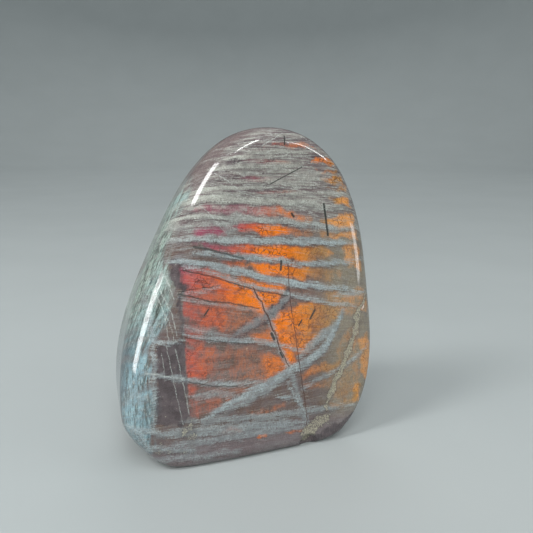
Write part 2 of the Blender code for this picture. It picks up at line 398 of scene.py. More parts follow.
# The flash's hue by height: how far across it is red, and how far across it is amber
RED_ACROSS = (
    (5, -26), (20, -27), (35, -26), (45, -24), (58, -23), (62, -22), (68, -10), (75, -5), (81, 2), (97, 7)
)
AMBER_ACROSS = (
    (5, 26), (20, 26), (35, 22), (45, 22), (58, 20), (67, 20), (75, 20), (81, 25), (97, 32)
)
# Where red, amber and the back's flash stand on the range of hues, from 0 to 1
RED_HUE = 0.15
AMBER_HUE = 0.8
BACK_HUE = 0.86
# Dark panels and darker tones of the stone, and painted shade on the downward-facing foot strip and lower
# right facet: the strength of each, then its corners across and up
DARK_PANELS_AND_SHADE = {
    "upper": (0.9, ((-26, 68.8), (-21.9, 67.6), (-22.8, 57), (-24.6, 56.3), (-26.5, 63))),
    "middle": (0.12, ((-31.5, 57.5), (-26, 65), (-24.5, 55), (-24.5, 42), (-33, 43))),
    "edge": (0.75, ((-25.6, 57), (-24.2, 57), (-24.2, 16), (-25.4, 16))),
    "low": (1.0, ((-33, 41.5), (-24.6, 40.2), (-25.2, 15.4), (-27, 13.2), (-34.8, 15.8))),
    # Painted shade, with some of the stone's own darker colour, on the strip below the front rim
    "foot": (0.22, ((-30, 4.6), (-23, 5), (-6, 4.2), (14, 3.6), (14, -6), (-30, -6))),
    "cross_shade": (
        0.95,
        ((-12, 39.5), (-3, 45.5), (5, 50), (11, 54.5), (12.2, 51), (6.5, 46), (-1, 42), (-9, 38.6)),
    ),
    "crown_hairs": (0.7, ((-8.2, 95.4), (-7.6, 98.6), (-3, 98.2), (-2.4, 95.6))),
    # Painted shade on the lower right facet, which faces down
    "right_undercut_shade": (0.75, ((18, 0.5), (21, 3), (25, 5), (34, 8), (37, 3), (30, -2), (20, -4))),
}

# The back's own bands, cracks and patches, across and up
BACK_BANDS = {
    "back_top": Band(((-14, 93), (0, 91), (17, 93)), 0.7, 0.65),
    "back_upper": Band(((-28, 80), (-8, 77), (12, 79), (28, 76)), 1.2, 0.8),
    "back_upper_thin": Band(((-26, 72), (-4, 73), (18, 70), (30, 69)), 0.45, 0.7),
    "back_middle_high": Band(((-32, 64), (-10, 62.5), (14, 60), (34, 60)), 0.6, 0.6),
    "back_middle": Band(((-40, 58), (-14, 55), (8, 56), (34, 50)), 1.3, 0.85),
    "back_slope": Band(((-32, 29), (-12, 37), (6, 46), (24, 62)), 0.7, 0.7),
    "back_branch": Band(((-8, 39), (6, 38), (24, 41), (36, 40)), 0.5, 0.6),
    "back_low": Band(((-42, 25), (-12, 22), (12, 26), (38, 21)), 1.1, 0.8),
    "back_low_thin": Band(((-40, 17), (-10, 15.5), (14, 17), (38, 14)), 0.45, 0.6),
    "back_foot": Band(((-34, 9), (0, 7.5), (34, 9)), 1.2, 0.6),
}
BACK_CRACKS = {
    "back_long_crack": (((-9, 84), (-6, 60), (-10, 38), (-7, 12)), 0.14),
    "back_short_crack": (((16, 70), (20, 52), (17, 40)), 0.12),
}
BACK_PATCHES = {
    "bronze_top": Patch(3, 83, 15, 2.6, 4, 0.3),
    "bronze_high": Patch(6, 66, 20, 3.6, -6, 0.42),
    "bronze_middle": Patch(-12, 47, 17, 3.2, 6, 0.34),
    "bronze_right": Patch(20, 41, 11, 4.0, -10, 0.4),
    "bronze_low": Patch(2, 31, 19, 2.6, 4, 0.3),
}
# The right side's pale bands, from front to back and up
RIGHT_BANDS = {
    "right_high": Band(((-19, 84), (-6, 79), (10, 70)), 0.5, 0.6),
    "right_first": Band(((-21, 73), (-4, 66), (16, 58)), 0.8, 0.75),
    "right_second": Band(((-21, 62), (-10, 58), (6, 49), (18, 46)), 0.45, 0.6),
    "right_third": Band(((-22, 51), (0, 42), (20, 35)), 1.0, 0.8),
    "right_cross": Band(((-18, 38), (-4, 40), (14, 48)), 0.4, 0.6),
    "right_fourth": Band(((-22, 33), (-4, 25), (14, 20)), 0.6, 0.7),
    "right_low": Band(((-22, 22), (-2, 13), (16, 11)), 0.9, 0.7),
}

# Painted reflection: brighter bluish places on the left side, beside its highlight, from front to back and
# up
SIDE_REFLECTIONS = {
    "low": Patch(-21, 31, 4.0, 18, 0, 0.95),
    "middle": Patch(-16, 58, 4.0, 16, 0, 0.35),
    "high": Patch(-13, 86, 8.0, 9, 0, 0.5),
}
# Where the pale left side meets the front's streaks, and how steeply those fall, by height
PALE_SIDE_LINE = (
    (8, -36), (16, -35), (41, -33.5), (46, -29.5), (58, -27.5), (68, -25.5), (78, -23), (88, -20), (97, -16)
)
STREAK_FALL = (
    (5, 0.05), (12, 0.06), (22, -0.12), (30, 0), (42, 0.2), (62, 0.25), (74, 0.13), (86, 0.1), (97, 0)
)

# The camera
CAMERA_PLACE = (-71.0 * MM, -204.8 * MM, 104.2 * MM)
CAMERA_AZIMUTH = -22
CAMERA_PITCH = 12
CAMERA_ANGLE = 45
SENSOR_WIDTH = 36.0
CAMERA_CLIP = 10 * MM
# The even light from all round
SKY_COLOUR = (0.86, 0.93, 1.0, 1)
# The lights that the polish shows: azimuth and elevation in degrees, distance, width, height, watts
LIGHTS = {
    "left_window": (-86, 10, 0.9, 0.22, 0.28, 2.1),
    "left_high_window": (-76, 45, 0.9, 0.20, 0.34, 3.2),
    "top_strip": (-12, 61, 0.9, 0.34, 0.05, 1.0),
    "right_window": (62, 1.5, 0.9, 0.30, 0.12, 0.55),
    "right_high_strip": (52, 29, 0.9, 0.60, 0.05, 1.2),
}
# Those of them that only the polish shows, and that light nothing else
ONLY_REFLECTED = ("right_window",)
# Broad lights that the polish doesn't show: azimuth, elevation, distance, size, watts
FILL_LIGHTS = {
    "front_fill": (-22, 36, 2.3, 1.6, 28.0),
    "back_fill": (160, 40, 2.2, 1.4, 10.0),
}
# The floor, and the wall that it curves up into
FLOOR_RADIUS = 1.6
BEND_RADIUS = 1.1
BEND_STEPS = 24
WALL_HEIGHT = 2.0
BOWL_STEPS = 72
# Where the lights point
LIGHT_TARGET = (0, 0, 50 * MM)

# How each noise is stretched: streaks and strands along the sheets, hairs and the side's streaks upright
STREAK_SCALE = (0.06, 0.09, 0.6)
FINE_STREAK_SCALE = (0.16, 0.3, 2.6)
STRAND_SCALE = (0.075, 0.2, 1.3)
HAIR_SCALE = (2.0, 2.0, 0.45)
SIDE_STREAK_SCALE = (0.8, 0.8, 0.11)
# The heights on the plan over which the look changes, in millimetres
UPPER_PART = (66, 84)
GLASSY_CROWN = (84, 96)
BLUER_SIDE = (62, 34)
SLATE_SIDE = (54, 36)

# The finish, how softly a thin stroke ends, and how near the base the skin isn't pitted
STONE_IOR = 1.55
POLISH_ROUGHNESS = 0.07
ROUGH_SPOT_ROUGHNESS = 0.4
CRACK_ROUGHNESS = 0.2
ROUGH_BUMP = 0.3 * MM
STROKE_SOFTNESS = (-0.12, 0.06)
BASE_CLEARANCE = 0.05 * MM


def colour_setting(name, description, default):
    """A colour that the user can change."""
    return FloatVectorProperty(
        name=name, description=description, subtype="COLOR", default=default, min=0, max=1
    )


class LabradoriteStone(bpy.types.PropertyGroup):
    """The stone's colours and finish."""

    flash_magenta: colour_setting(
        "Flash Magenta", "Colour of the flash at the upper left", (0.34, 0.055, 0.11)
    )
    flash_red: colour_setting("Flash Red", "Colour of the flash along its left edge", (0.54, 0.095, 0.08))
    flash_ember: colour_setting(
        "Flash Ember", "Colour of the flash between red and orange", (0.76, 0.13, 0.025)
    )
    flash_orange: colour_setting("Flash Orange", "Colour of the flash in the middle", (0.98, 0.225, 0.0))
    flash_amber: colour_setting("Flash Amber", "Colour of the flash towards the right", (0.52, 0.255, 0.06))
    flash_gold: colour_setting("Flash Gold", "Colour of the flash in the right rim", (0.9, 0.37, 0.08))
    body_brown: colour_setting("Body Brown", "The stone's darker body colour", (0.118, 0.074, 0.058))
    body_mauve: colour_setting(
        "Body Mauve", "The stone's mauve-grey body colour in the upper part", (0.165, 0.13, 0.135)
    )
    veil_grey: colour_setting(
        "Veil Grey", "Colour of the pale bands and streaks high up", (0.4, 0.41, 0.36)
    )
    veil_blue: colour_setting("Veil Blue", "Colour of the pale bands low down", (0.335, 0.4, 0.41))
    fibre_white: colour_setting("Fibre White", "Colour of the finest pale fibres", (0.52, 0.56, 0.52))
    side_green: colour_setting("Side Green", "Pale green-grey of the left side", (0.285, 0.365, 0.31))
    side_blue: colour_setting("Side Blue", "Bluish sheen low on the left side", (0.15, 0.24, 0.27))
    # Colour of the painted reflection on the left side
    reflection_blue: colour_setting("Sheen Blue", "The brightest places of the left side", (0.31, 0.47, 0.52))
    side_slate: colour_setting(
        "Side Slate", "Slate colour low on the left side, towards the back", (0.085, 0.115, 0.13)
    )
    side_shade: colour_setting("Side Shade", "Darker streaks of the left side", (0.1, 0.125, 0.115))
    # Also the colour of the painted shade on the foot and of the painted shadows under the pale bands
    panel_dark_and_shade: colour_setting(
        "Panel Dark", "The charcoal panel left of the flash, and dark streaks", (0.06, 0.048, 0.053)
    )
    rough_yellow: colour_setting("Rough Yellow", "Colour of the rough vein", (0.42, 0.4, 0.28))
    crack_brown: colour_setting("Crack Brown", "Colour of the cracks", (0.075, 0.028, 0.02))
    needle_dark: colour_setting("Needle Dark", "Colour of the needles", (0.028, 0.032, 0.028))
    pit_depth: FloatProperty(
        name="Pit Depth",
        description="How deep the pits in the rough vein are",
        unit="LENGTH",
        default=0.35 * MM,
        min=0,
        max=1 * MM,
    )
    pit_size: FloatProperty(
        name="Pit Size",
        description="How wide the pits in the rough vein are",
        unit="LENGTH",
        default=1.1 * MM,
        min=0.3 * MM,
        max=5 * MM,
    )
    pit_seed: IntProperty(name="Pit Seed", description="Where the pits fall", default=7, min=0)


class LabradoriteStage(bpy.types.PropertyGroup):
    """The stage's colours and light."""

    floor_colour: colour_setting("Floor Colour", "Colour of the floor and backdrop", (0.43, 0.465, 0.46))
    light_strength: FloatProperty(
        name="Light Strength",
        description="Multiplies the power of every light",
        default=1.0,
        min=0,
        max=10,
    )
    sky_strength: FloatProperty(
        name="Sky Strength",
        description="Brightness of the even light from all round",
        default=0.38,
        min=0,
        max=10,
    )


def round_meet(first, second, radius):
    """The distance to two faces that meet in an edge of this radius. It is negative inside both."""
    flat = np.minimum(np.maximum(first, second), -radius)
    return flat + np.hypot(np.maximum(first + radius, 0), np.maximum(second + radius, 0))


def around(turn, values):
    """A smooth closed curve through evenly spaced values, read at a share of a full turn."""
    knots = np.asarray(values, float)
    count = len(knots)
    even = np.eye(count)
    bend = np.linalg.solve(
        4 * even + np.roll(even, 1, 0) + np.roll(even, -1, 0),
        6 * (np.roll(knots, 1) - 2 * knots + np.roll(knots, -1)),
    )
    place = (turn % 1.0) * count
    left = np.floor(place).astype(int) % count
    right = (left + 1) % count
    share = place - np.floor(place)
    rest = 1 - share
    straight = knots[left] * rest + knots[right] * share
    return straight + ((rest**3 - rest) * bend[left] + (share**3 - share) * bend[right]) / 6


def facing(azimuth, elevation):
    """The direction at this azimuth from the front, turning to the right, and this elevation, in degrees."""
    a, e = radians(azimuth), radians(elevation)
    return np.array((sin(a) * cos(e), -cos(a) * cos(e), sin(e)))


def outline_wall(x, y, rise):
    """The distance to the side wall, which narrows towards the back."""
    back_share = np.clip((y + FRONT_DEPTH) / (FRONT_DEPTH + BACK_DEPTH), 0, 1.2)
    ways = 2 * pi * np.arange(len(OUTLINE_REACH)) / len(OUTLINE_REACH)
    reach = np.array(OUTLINE_REACH)[:, None] * (1 - BACK_TAPER * back_share)
    past = (np.cos(ways)[:, None] * x + np.sin(ways)[:, None] * rise - reach) / OUTLINE_SOFTNESS
    most = past.max(0)
    return OUTLINE_SOFTNESS * (most + np.log(np.exp(past - most).sum(0)))


def front_gap(points):
    """How far each point is behind the front face."""
    x, y, z = points.T
    rise = z - MIDDLE_HEIGHT
    spread = (x / DOME_HALF_WIDTH) ** 2 + (rise / DOME_HALF_HEIGHT) ** 2
    return (y + FRONT_DEPTH) * cos(FRONT_LEAN) - rise * sin(FRONT_LEAN) - FRONT_DOME * spread


def stone_field(points):
    """The distance from each point to the stone's skin. It is negative inside the stone."""
    x, y, z = points.T
    rise = z - MIDDLE_HEIGHT
    turn = np.arctan2(rise, x) / (2 * pi)
    spread = (x / DOME_HALF_WIDTH) ** 2 + (rise / DOME_HALF_HEIGHT) ** 2
    back = (y - BACK_DEPTH) * cos(BACK_LEAN) + rise * sin(BACK_LEAN) + BACK_DOME * spread
    skin = round_meet(outline_wall(x, y, rise), -front_gap(points), around(turn, FRONT_RIM))
    skin = round_meet(skin, back, BACK_RIM)
    middle = np.array((0, 0, MIDDLE_HEIGHT))
    for azimuth, elevation, distance, edge in FACETS.values():
        skin = round_meet(skin, (points - middle) @ facing(azimuth, elevation) - distance, edge)
    for way, length, height, phase in POLISH_WAVES:
        way = np.array(way) / np.linalg.norm(way)
        skin = skin + height * np.sin(2 * pi * (points @ way) / length + phase)
    skin = round_meet(skin, -z - SAW_DEPTH, BASE_RIM)
    chip = (np.linalg.norm((points - CHIP_PLACE) / CHIP_HALF_SIZE, axis=1) - 1) * CHIP_HALF_SIZE.min()
    return round_meet(skin, -chip, CHIP_EDGE)


def skin_points(directions):
    """Where the rays from the stone's middle leave the stone."""
    middle = np.array((0, 0, MIDDLE_HEIGHT))
    near = np.zeros(len(directions))
    far = np.full(len(directions), FARTHEST)
    for _ in range(HALVINGS):
        half = (near + far) / 2
        inside = stone_field(middle + directions * half[:, None]) < 0
        near = np.where(inside, half, near)
        far = np.where(inside, far, half)
    return middle + directions * near[:, None]


def ground_skin(name):
    """The stone's fine mesh, in the part's place. It is finest on the front, where the marks are."""
    shape = bmesh.new()
    bmesh.ops.create_icosphere(shape, subdivisions=SPHERE_SUBDIVISIONS, radius=1)
    front = [edge for edge in shape.edges if max(vertex.co.y for vertex in edge.verts) < FRONT_FACING]
    bmesh.ops.subdivide_edges(shape, edges=front, cuts=1, use_grid_fill=True)
    bmesh.ops.triangulate(shape, faces=[face for face in shape.faces if len(face.verts) > 3])
    proportions = np.array((DOME_HALF_WIDTH, FRONT_DEPTH, DOME_HALF_HEIGHT))
    directions = np.array([vertex.co for vertex in shape.verts]) * proportions
    directions /= np.linalg.norm(directions, axis=1)[:, None]
    skin = skin_points(directions)
    skin[:, 2] = np.maximum(skin[:, 2], 0)
    low, high = skin.min(0), skin.max(0)
    cad_low, cad_high = np.array(CAD_LOW), np.array(CAD_HIGH)
    fit = INSIDE_BOX * min(1.0, *((cad_high - cad_low) / (high - low)))
    centre = np.array(((low[0] + high[0]) / 2, (low[1] + high[1]) / 2, 0))
    stand = np.array(((cad_low[0] + cad_high[0]) / 2, (cad_low[1] + cad_high[1]) / 2, 0))
    for vertex, place in zip(shape.verts, (skin - centre) * fit + stand):
        vertex.co = place
    mesh = bpy.data.meshes.new(name)
    shape.to_mesh(mesh)
    shape.free()
    mesh.shade_smooth()
    return mesh, centre


def smooth_line(points):
    """A smooth line through the points."""
    knots = np.array(points, float)
    if len(knots) < 3:
        return knots
    padded = np.vstack((2 * knots[0] - knots[1], knots, 2 * knots[-1] - knots[-2]))
    line = []
    for a, b, c, d in zip(padded, padded[1:], padded[2:], padded[3:]):
        square = 2 * a - 5 * b + 4 * c - d
        cube = 3 * b - a - 3 * c + d
        for t in np.arange(LINE_STEPS) / LINE_STEPS:
            line.append(0.5 * (2 * b + (c - a) * t + square * t**2 + cube * t**3))
    return np.array(line + [knots[-1]])


def distance_to_line(plan, line):
    """How far each place is from a line, and the share of the line's length where it is nearest."""
    steps = np.diff(line, axis=0)
    lengths = np.linalg.norm(steps, axis=1)
    starts = np.concatenate(([0], np.cumsum(lengths)))
    nearest = np.full(len(plan), np.inf)
    share = np.zeros(len(plan))
    for start, step, length, before in zip(line, steps, lengths, starts):
        along = np.clip((plan - start) @ step / length**2, 0, 1)
        gap = np.linalg.norm(plan - start - along[:, None] * step, axis=1)
        closer = gap < nearest
        nearest = np.where(closer, gap, nearest)
        share = np.where(closer, (before + along * length) / starts[-1], share)
    return nearest, share


def band_reach(plan, band):
    """How far inside a band each place is. Outside it is negative. The band thins out towards its ends."""
    gap, share = distance_to_line(plan, smooth_line(band.points))
    taper = 1 - BAND_TAPER * np.abs(2 * share - 1) ** 3
    return band.half_width * taper - gap


def bands_paint(plan, bands):
    """The reach inside the nearest band, and that band's strength."""
    reach = np.full(len(plan), FAR_OUTSIDE)
    strength = np.zeros(len(plan))
    for band in bands:
        own = band_reach(plan, band)
        strength = np.where(own > reach, band.strength, strength)
        reach = np.maximum(reach, own)
    return reach, strength


def patch_paint(plan, patches, soft):
    """The patches' joint strength at each place, from 0 to 1. Each one fades over its outer part."""
    clear = np.ones(len(plan))
    for patch in patches:
        turn = radians(patch.tilt)
        off = plan - (patch.across, patch.up)
        along = (off[:, 0] * cos(turn) + off[:, 1] * sin(turn)) / patch.half_length
        above = (off[:, 1] * cos(turn) - off[:, 0] * sin(turn)) / patch.half_height
        share = np.clip((1 + soft / 2 - np.hypot(along, above)) / soft, 0, 1)
        clear *= 1 - patch.strength * share**2 * (3 - 2 * share)
    return 1 - clear


def corners_reach(plan, corners):
    """How far inside a cornered shape each place is. Outside it is negative."""
    loop = np.array(corners + corners[:1], float)
    gap, _ = distance_to_line(plan, loop)
    inside = np.zeros(len(plan), bool)
    for (x0, z0), (x1, z1) in zip(loop, loop[1:]):
        crosses = (plan[:, 1] > z0) != (plan[:, 1] > z1)
        rise = z1 - z0 if z1 != z0 else 1.0
        inside ^= crosses & (plan[:, 0] < x0 + (plan[:, 1] - z0) * (x1 - x0) / rise)
    return np.where(inside, gap, -gap)


def wander(plan, reach, length):
    """Each place moved by a small smooth drift, so that no painted edge runs straight."""
    across, up = plan.T * (2 * pi / length)
    drift_across = np.sin(up + 0.9 * np.sin(0.7 * across + 1.0)) + 0.5 * np.sin(2.3 * up - 1.9 * across)
    drift_up = np.sin(0.8 * across + 1.1 * np.sin(0.9 * up)) + 0.5 * np.sin(2.1 * across + 1.7 * up + 2.0)
    return plan + reach * np.stack((drift_across, drift_up), 1)


def ramp(values, low, high):
    """A smooth step from 0 at low to 1 at high."""
    share = np.clip((values - low) / (high - low), 0, 1)
    return share**2 * (3 - 2 * share)


def paint_marks(mesh, centre):
    """Keep, at each vertex, where the stone's marks are. The material turns these into colour."""
    places = np.empty(len(mesh.vertices) * 3)
    mesh.vertices.foreach_get("co", places)
    places = places.reshape(-1, 3)
    behind = front_gap(places + centre) / MM
    x, y, z = places.T / MM
    back_from_front = y + FRONT_DEPTH / MM
    plan = np.stack((x + SHEET_SLANT[0] * back_from_front, z + SHEET_SLANT[1] * back_from_front), 1)
    back_plan = np.stack((x, z - BACK_SLANT * (BACK_DEPTH / MM - y)), 1)
    drawn = wander(plan, 0.2, 9)
    loose = wander(wander(plan, 0.45, 10), 0.22, 3.7)
    front_reach, front_strength = bands_paint(drawn, PALE_BANDS.values())
    # The painted shadow under each pale band: the bands found again, a little lower
    band_shadow_reach, _ = bands_paint(drawn + (0, BAND_SHADOW_DROP), PALE_BANDS.values())
    back_reach, back_strength = bands_paint(back_plan, BACK_BANDS.values())
    right_plan = wander(np.stack((y, z), 1), 0.4, 12)
    right_reach, right_strength = bands_paint(right_plan, RIGHT_BANDS.values())
    right_reach = right_reach - RIGHT_NARROWING * np.maximum(RIGHT_SIDE_START - x - 0.1 * z, 0)
    front_reach = front_reach - FRONT_NARROWING * np.maximum(behind - RIM_START, 0)
    back_reach = back_reach - BACK_NARROWING * np.maximum(BACK_START - behind, 0)
    dark = 1 - patch_paint(plan, FLASH_SPOTS.values(), soft=0.9)
    for strength, corners in FLASH_CELLS.values():
        dark *= 1 - strength * ramp(corners_reach(loose, corners), -CELL_SOFTNESS, CELL_SOFTNESS)
    flash = (1 - dark) * ramp(plan[:, 0], FLASH_LEFT_EDGE - 0.5, FLASH_LEFT_EDGE + 0.5)
    flash *= 1 - ramp(behind, *FLASH_FADE)
    red_up, red_across = np.array(RED_ACROSS).T
    amber_up, amber_across = np.array(AMBER_ACROSS).T
    red = np.interp(plan[:, 1], red_up, red_across)
    amber = np.interp(plan[:, 1], amber_up, amber_across)
    hue = RED_HUE + (AMBER_HUE - RED_HUE) * (plan[:, 0] - red) / (amber - red)
    hue += (BACK_HUE - hue) * ramp(behind, *BACK_HUE_START)
    rim_dark = np.ones(len(plan))
    for strength, corners in RIM_CELLS.values():
        rim_dark *= 1 - strength * ramp(corners_reach(loose, corners), -RIM_SOFTNESS, RIM_SOFTNESS)
    rim_flash = (1 - rim_dark) * (1 - ramp(behind, *RIM_FLASH_FADE))
    back_flash = patch_paint(back_plan, BACK_PATCHES.values(), soft=1.3) * ramp(behind, *BACK_FLASH_START)
    rough_reach = band_reach(loose, ROUGH_VEIN) - VEIN_NARROWING * np.maximum(behind - VEIN_START, 0)
    rough_spots = patch_paint(plan, ROUGH_SPOTS, soft=0.9) * (1 - ramp(behind, *SPOT_FADE))
    # The dark panels, and the painted shade on the foot and the lower right facet
    panel_and_shade = np.zeros(len(plan))
    for strength, corners in DARK_PANELS_AND_SHADE.values():
        panel_and_shade = np.maximum(panel_and_shade, strength * ramp(corners_reach(loose, corners), -0.7, 0.7))
    side_up, side_across = np.array(PALE_SIDE_LINE).T
    frayed = wander(wander(plan, 1.1, 31), 0.6, 13)
    fray = 2 + 0.3 * np.maximum(behind - 6, 0)
    pale_side = ramp(np.interp(plan[:, 1], side_up, side_across) - frayed[:, 0], -fray - 1, fray + 2)
    pale_side = pale_side * (1 - 0.9 * ramp(behind + 5 * (frayed[:, 1] - plan[:, 1]), *PALE_SIDE_FADE))
    fall_up, fall = np.array(STREAK_FALL).T
    fall_here = np.interp(plan[:, 1], fall_up, fall)
    flow_up = plan[:, 1] + fall_here * plan[:, 0] * (1 - ramp(behind, *STREAK_FALL_FADE))
    rim_lean = x - 0.36 * np.maximum(z - 35, 0)
    veil_reach = np.maximum.reduce((front_reach, right_reach, back_reach))
    veil_strength = np.where(
        veil_reach == front_reach,
        front_strength * (1 - 0.45 * ramp(behind, *BAND_FADE)),
        np.where(veil_reach == right_reach, right_strength, back_strength),
    )
    paints = {
        "veil_reach": veil_reach,
        "veil_strength": veil_strength,
        "band_shadow_reach": band_shadow_reach - BAND_SHADOW_NARROWING * np.maximum(behind - RIM_START, 0),
        "flash": np.maximum.reduce((flash, rim_flash, back_flash * 0.8)),
        "hue": hue,
        "rough": np.maximum(ramp(rough_reach, -0.5, 0.5), rough_spots),
        "panel_and_shade": panel_and_shade * (1 - ramp(behind, *PANEL_FADE)),
        "pale_side": pale_side,
        "side_reflection": patch_paint(np.stack((y, z), 1), SIDE_REFLECTIONS.values(), soft=1.2),
        "behind": behind,
        "flow": np.stack((plan[:, 0] * (1 - 0.4 * ramp(behind, *STREAK_STRETCH)), y, flow_up), 1),
        "upright": np.stack((rim_lean, y, z), 1),
    }
    for name, values in paints.items():
        kind, field = ("FLOAT", "value") if values.ndim == 1 else ("FLOAT_VECTOR", "vector")
        marks = mesh.attributes.new(name, kind, "POINT")
        marks.data.foreach_set(field, values.astype(np.float32).ravel())


class Wiring:
    """Short ways to add and join a tree's nodes. A value is a number, a colour or a node's output."""

    def __init__(self, tree):
        self.tree = tree

    def add(self, kind, values=None, **settings):
        node = self.tree.nodes.new(kind)
        for name, value in settings.items():
            setattr(node, name, value)
        for key, value in (values or {}).items():
            self.give(node.inputs[key], value)
        return node

    def give(self, socket, value):
        if isinstance(value, bpy.types.NodeSocket):
            self.tree.links.new(value, socket)
        elif socket.type == "RGBA":
            socket.default_value = (*value[:3], 1.0)
        else:
            socket.default_value = value

    def math(self, operation, first, second=0.0, third=0.0):
        node = self.add("ShaderNodeMath", {0: first, 1: second, 2: third}, operation=operation)
        return node.outputs[0]

    def vector(self, operation, first, second=None, scale=None):
        node = self.add("ShaderNodeVectorMath", {0: first}, operation=operation)
        if second is not None:
            self.give(node.inputs[1], second)
        if scale is not None:
            self.give(node.inputs["Scale"], scale)
        return node.outputs["Value" if operation in ("DOT_PRODUCT", "LENGTH", "DISTANCE") else "Vector"]

    def step(self, value, low, high, to_low=0.0, to_high=1.0):
        """A smooth step of the value from to_low at low to to_high at high."""
        node = self.add(
            "ShaderNodeMapRange",
            {"Value": value, "From Min": low, "From Max": high, "To Min": to_low, "To Max": to_high},
            interpolation_type="SMOOTHSTEP",
            clamp=False,
        )
        return node.outputs[0]

    def mix(self, share, first, second):
        node = self.tree.nodes.new("ShaderNodeMix")
        node.data_type = "RGBA"
        self.give(node.inputs[0], share)
        self.give(node.inputs[6], first)
        self.give(node.inputs[7], second)
        return node.outputs[2]

    def noise(self, place, scale, detail=3.0, roughness=0.55, distortion=0.0):
        node = self.add(
            "ShaderNodeTexNoise",
            {
                "Vector": place,
                "Scale": scale,
                "Detail": detail,
                "Roughness": roughness,
                "Distortion": distortion,
            },
        )
        return node.outputs[0]

    def marks(self, name, output="Fac"):
        return self.add("ShaderNodeAttribute", attribute_name=name).outputs[output]


def stroke_group():
    """A node group that gives 1 on a straight stroke between two points of the plan and 0 away from it."""
    tree = bpy.data.node_groups.new("stroke", "ShaderNodeTree")
    for name in ("Place", "Start", "End"):
        tree.interface.new_socket(name, in_out="INPUT", socket_type="NodeSocketVector")
    tree.interface.new_socket("Half Width", in_out="INPUT", socket_type="NodeSocketFloat")
    tree.interface.new_socket("Cover", in_out="OUTPUT", socket_type="NodeSocketFloat")
    wiring = Wiring(tree)
    given = tree.nodes.new("NodeGroupInput").outputs
    step = wiring.vector("SUBTRACT", given["End"], given["Start"])
    off = wiring.vector("SUBTRACT", given["Place"], given["Start"])
    length = wiring.vector("DOT_PRODUCT", step, step)
    share = wiring.math("DIVIDE", wiring.vector("DOT_PRODUCT", off, step), length)
    share = wiring.math("MINIMUM", wiring.math("MAXIMUM", share, 0.0), 1.0)
    nearest = wiring.vector("SCALE", step, scale=share)
    gap = wiring.vector("LENGTH", wiring.vector("SUBTRACT", off, nearest))
    edge = wiring.math("SUBTRACT", given["Half Width"], gap)
    cover = wiring.step(edge, *STROKE_SOFTNESS)
    result = tree.nodes.new("NodeGroupOutput")
    tree.links.new(cover, result.inputs["Cover"])
    return tree


def strokes_cover(wiring, group, place, strokes):
    """The joint cover of many strokes: 1 on any of them."""
    cover = 0.0
    for start, end, half_width in strokes:
        node = wiring.tree.nodes.new("ShaderNodeGroup")
        node.node_tree = group
        wiring.give(node.inputs["Place"], place)
        node.inputs["Start"].default_value = (start[0], 0, start[1])
        node.inputs["End"].default_value = (end[0], 0, end[1])
        node.inputs["Half Width"].default_value = half_width
        cover = wiring.math("MAXIMUM", cover, node.outputs["Cover"])
    return cover


def line_strokes(lines):
    """The straight strokes of bent lines."""
    return [
        (start, end, half_width)
        for points, half_width in lines.values()
        for start, end in zip(points, points[1:])
    ]


